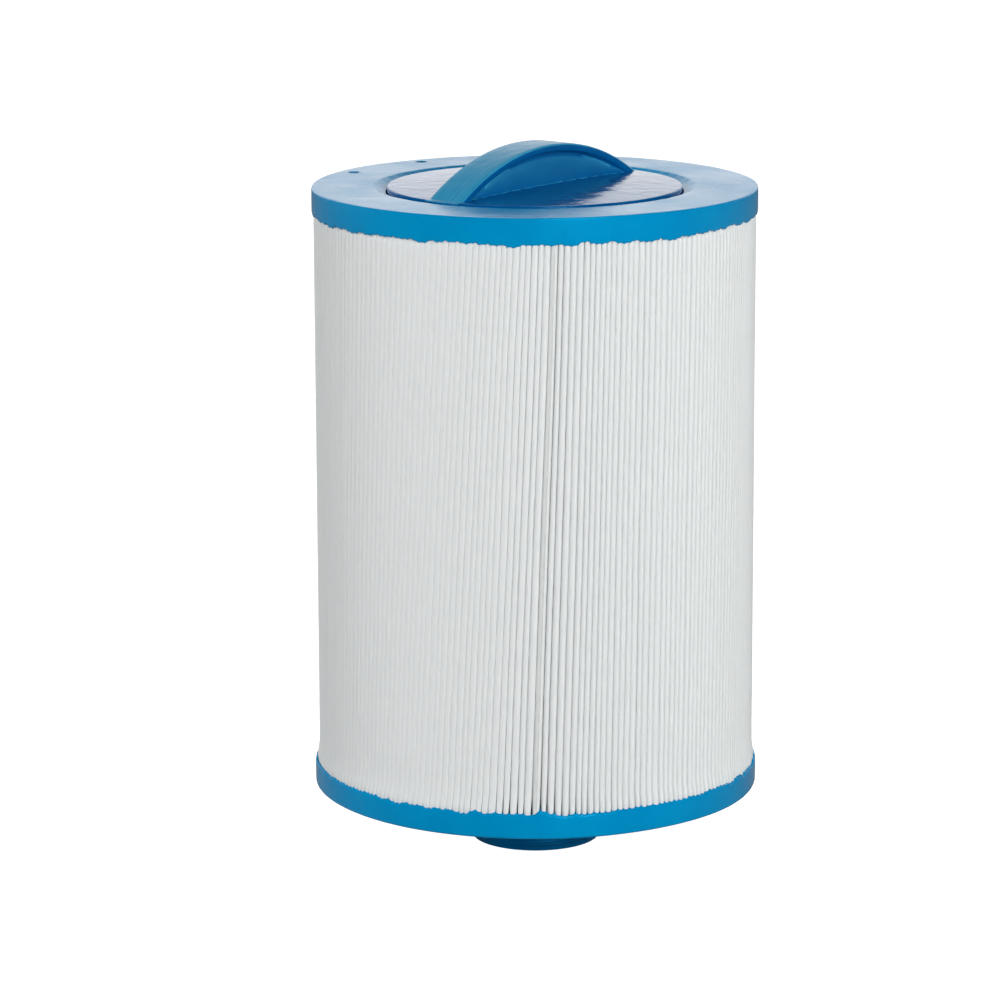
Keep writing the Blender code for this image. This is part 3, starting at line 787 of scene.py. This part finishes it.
def make_core():
    """Slotted tube: rows of windows with rounded corners, thickened inwards."""
    columns, rows = 12, 8
    low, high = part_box("core_tube")[0][2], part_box("core_tube")[1][2]
    hoop = 5.5 * MM
    cell_high = (high - low - hoop) / rows
    cell_wide = TURN / columns
    around = 40
    bm = bmesh.new()

    def corner(angle, z):
        return bm.verts.new((CORE_RADIUS * math.cos(angle), CORE_RADIUS * math.sin(angle), z))

    def box_point(turn, half_wide, half_high, power):
        c, s = math.cos(turn), math.sin(turn)
        size = (abs(c) ** power + abs(s) ** power) ** (-1.0 / power)
        return half_wide * size * c, half_high * size * s

    for column in range(columns):
        for row in range(rows):
            middle_a = (column + 0.5) * cell_wide
            middle_z = low + 0.5 * hoop + (row + 0.5) * cell_high
            ring_out, ring_in = [], []
            for step in range(around):
                turn = math.pi / 4.0 + TURN * step / around
                c, s = math.cos(turn), math.sin(turn)
                big = 1.0 / max(abs(c), abs(s))
                ring_out.append(corner(middle_a + 0.5 * cell_wide * big * c, middle_z + 0.5 * cell_high * big * s))
                a, z = box_point(turn, 0.3 * cell_wide, 0.5 * (cell_high - hoop), 8.0)
                ring_in.append(corner(middle_a + a, middle_z + z))
            for here in range(around):
                there = (here + 1) % around
                bm.faces.new((ring_out[here], ring_out[there], ring_in[there], ring_in[here]))
    for level, sign in ((low, 1.0), (high, -1.0)):
        steps = columns * (around // 4)
        for here in range(steps):
            left, right = (cell_wide * n / (around // 4) for n in (here, here + 1))
            inner = level + sign * 0.5 * hoop
            bm.faces.new([corner(left, level), corner(right, level), corner(right, inner), corner(left, inner)])
    bmesh.ops.remove_doubles(bm, verts=bm.verts, dist=0.02 * MM)
    bmesh.ops.recalc_face_normals(bm, faces=bm.faces)
    mesh = bpy.data.meshes.new("core_sheet")
    bm.to_mesh(mesh)
    bm.free()
    sheet = bpy.data.objects.new("core_sheet", mesh)
    bpy.context.scene.collection.objects.link(sheet)
    wall = sheet.modifiers.new("wall", "SOLIDIFY")
    wall.thickness = 2.5 * MM
    wall.offset = -1.0
    made = bpy.data.meshes.new_from_object(sheet.evaluated_get(bpy.context.evaluated_depsgraph_get()))
    bpy.data.objects.remove(sheet, do_unlink=True)
    finish_piece("core_moulded", made, core_plastic("core_white"), "core_tube", 40.0)


def make_fitting():
    """Spigot with a rounded coarse thread, flange and sleeve, all one turned body."""
    segments = 256
    angle = np.arange(segments) * TURN / segments
    crest, root, thread_pitch = 24.0 * MM, 22.2 * MM, 5.0 * MM
    start, end = 1.4 * MM, UNDERSIDE - 2.5 * MM
    profile = [(18.5 * MM, 0.6 * MM), (18.9 * MM, 0.12 * MM), (19.3 * MM, 0.0), (21.6 * MM, 0.0), (22.05 * MM, 0.15 * MM),
               (root, 0.6 * MM)]
    for z in np.linspace(start, end, 67):
        phase = np.mod(z / thread_pitch - angle / TURN, 1.0)
        ridge = smooth(0.10, 0.40, 0.5 - np.abs(phase - 0.5))
        fade = smooth(0.0, 1.8 * MM, z - start) * smooth(0.0, 1.8 * MM, end - z)
        profile.append((root + (crest - root) * ridge * fade, z))
    base = UNDERSIDE
    profile += [(r * MM, base + z * MM) for r, z in (
        (22.3, -2.1), (22.9, -1.75), (23.9, -1.5), (24.2, -1.2), (24.2, 2.7), (37.6, 2.7), (38.0, 3.1), (38.0, 4.5),
        (37.6, 4.9), (33.3, 4.9), (33.3, 15.6), (32.9, 16.0), (31.2, 16.0), (30.8, 15.6), (30.8, 5.3), (30.4, 4.9),
        (19.2, 4.9), (18.5, 4.3), (18.5, -4.0), (18.5, -12.0))]
    points = np.stack([polar(r, angle, z) for r, z in profile])
    faces = grid_faces(len(profile), segments, close_rows=True)
    skin = moulded_plastic("fitting_blue", (0.0, 0.125, 0.30), (0.0, 0.10, 0.26), 0.26)
    piece("threaded_spigot", points.reshape(-1, 3), faces, skin, "threaded_fitting", 45.0)


# ---------------------------------------------------------------- studio


def make_floor():
    bpy.ops.mesh.primitive_circle_add(vertices=96, radius=25.0, fill_type="NGON", location=(0.0, 0.0, 0.0))
    floor = bpy.context.object
    floor.name = "floor"
    material = bpy.data.materials.new("pale_floor")
    material.use_nodes = True
    nodes, links = material.node_tree.nodes, material.node_tree.links
    shader = nodes["Principled BSDF"]
    shader.inputs["Base Color"].default_value = (0.35, 0.35, 0.35, 1.0)
    shader.inputs["Roughness"].default_value = 0.9
    shader.inputs["Specular IOR Level"].default_value = 0.0
    shader.inputs["Emission Color"].default_value = (1.0, 1.0, 1.0, 1.0)
    path = nodes.new("ShaderNodeLightPath")
    glow = nodes.new("ShaderNodeMath")
    glow.operation = "MULTIPLY"
    glow.inputs[1].default_value = 1.0
    links.new(path.outputs["Is Camera Ray"], glow.inputs[0])
    links.new(glow.outputs["Value"], shader.inputs["Emission Strength"])
    floor.data.materials.append(material)


def make_world():
    """A bright wall behind the part, dimmer overhead and in front; plain white as seen."""
    world = bpy.data.worlds.new("studio")
    bpy.context.scene.world = world
    world.use_nodes = True
    nodes, links = world.node_tree.nodes, world.node_tree.links
    nodes.clear()
    place = nodes.new("ShaderNodeTexCoord")
    split = nodes.new("ShaderNodeSeparateXYZ")
    links.new(place.outputs["Generated"], split.inputs["Vector"])

    def ranged(socket, low, high, to_low, to_high):
        node = nodes.new("ShaderNodeMapRange")
        node.interpolation_type = "SMOOTHSTEP"
        for name, value in (("From Min", low), ("From Max", high), ("To Min", to_low), ("To Max", to_high)):
            node.inputs[name].default_value = value
        links.new(socket, node.inputs["Value"])
        return node.outputs["Result"]

    def join(operation, a, b):
        node = nodes.new("ShaderNodeMath")
        node.operation = operation
        links.new(a, node.inputs[0])
        links.new(b, node.inputs[1])
        return node.outputs["Value"]

    behind = ranged(split.outputs["Y"], 0.48, 0.90, 0.03, 1.70)
    overhead = ranged(split.outputs["Z"], 0.22, 0.75, 1.0, 0.40)
    light = nodes.new("ShaderNodeBackground")
    links.new(join("MULTIPLY", behind, overhead), light.inputs["Strength"])
    seen = nodes.new("ShaderNodeBackground")
    seen.inputs["Strength"].default_value = 1.02
    path = nodes.new("ShaderNodeLightPath")
    mixed = nodes.new("ShaderNodeMixShader")
    links.new(path.outputs["Is Camera Ray"], mixed.inputs["Fac"])
    links.new(light.outputs["Background"], mixed.inputs[1])
    links.new(seen.outputs["Background"], mixed.inputs[2])
    output = nodes.new("ShaderNodeOutputWorld")
    links.new(mixed.outputs["Shader"], output.inputs["Surface"])


def softbox(name, azimuth, elevation, distance, size, power, mirrored=False):
    """Area light aimed at the part; azimuth is from the front towards the right."""
    data = bpy.data.lights.new(name, "AREA")
    data.shape = "SQUARE"
    data.size = size
    data.energy = power
    lamp = bpy.data.objects.new(name, data)
    a, e = math.radians(azimuth), math.radians(elevation)
    away = np.array([math.sin(a) * math.cos(e), -math.cos(a) * math.cos(e), math.sin(e)])
    lamp.location = away * distance + np.array([0.0, 0.0, BODY_MIDDLE])
    lamp.rotation_euler = (0.5 * math.pi - e, 0.0, a)
    lamp.visible_camera = False
    lamp.visible_glossy = mirrored
    bpy.context.scene.collection.objects.link(lamp)


# Camera: place from the axis and the underside, turns in radians, lens and sensor in millimetres
CAMERA_DISTANCE, CAMERA_HEIGHT = 1468.0 * MM, 421.1 * MM
CAMERA_YAW, CAMERA_PITCH, CAMERA_ROLL = -0.0083, 0.2157, -0.0035
SENSOR_WIDTH = 36.0
FOCAL_IN_WIDTHS = 4334.0 / 1000.0


def make_camera():
    yaw, pitch, roll = CAMERA_YAW, CAMERA_PITCH, CAMERA_ROLL
    ahead = np.array([math.sin(yaw) * math.cos(pitch), math.cos(yaw) * math.cos(pitch), -math.sin(pitch)])
    right = np.array([math.cos(yaw), -math.sin(yaw), 0.0])
    up = np.cross(right, ahead)
    across = math.cos(roll) * right + math.sin(roll) * up
    upward = -math.sin(roll) * right + math.cos(roll) * up
    data = bpy.data.cameras.new("camera")
    data.sensor_width = SENSOR_WIDTH
    data.lens = FOCAL_IN_WIDTHS * SENSOR_WIDTH
    data.clip_start, data.clip_end = 0.01, 100.0
    camera = bpy.data.objects.new("camera", data)
    place = (0.0, -CAMERA_DISTANCE, CAMERA_HEIGHT + UNDERSIDE)
    rows = [(across[k], upward[k], -ahead[k], place[k]) for k in range(3)]
    camera.matrix_world = Matrix(rows + [(0.0, 0.0, 0.0, 1.0)])
    bpy.context.scene.collection.objects.link(camera)
    bpy.context.scene.camera = camera


make_camera()
make_floor()
make_world()
softbox("key", 20.0, 16.0, 2.4, 1.1, 40.5, True)
softbox("front", -22.0, 20.0, 5.5, 3.0, 53.5)
softbox("fill_left", -102.0, 20.0, 5.5, 3.0, 168.0)
softbox("fill_right", 86.0, 20.0, 5.5, 3.0, 52.0)
softbox("top", 160.0, 66.0, 2.0, 1.0, 3.5)
tip_radius_of_pleats = make_media()
make_seam(tip_radius_of_pleats)
make_top_cap()
make_bottom_cap()
make_handle_plate()
make_core()
make_fitting()
bpy.context.scene.view_settings.view_transform = "Standard"
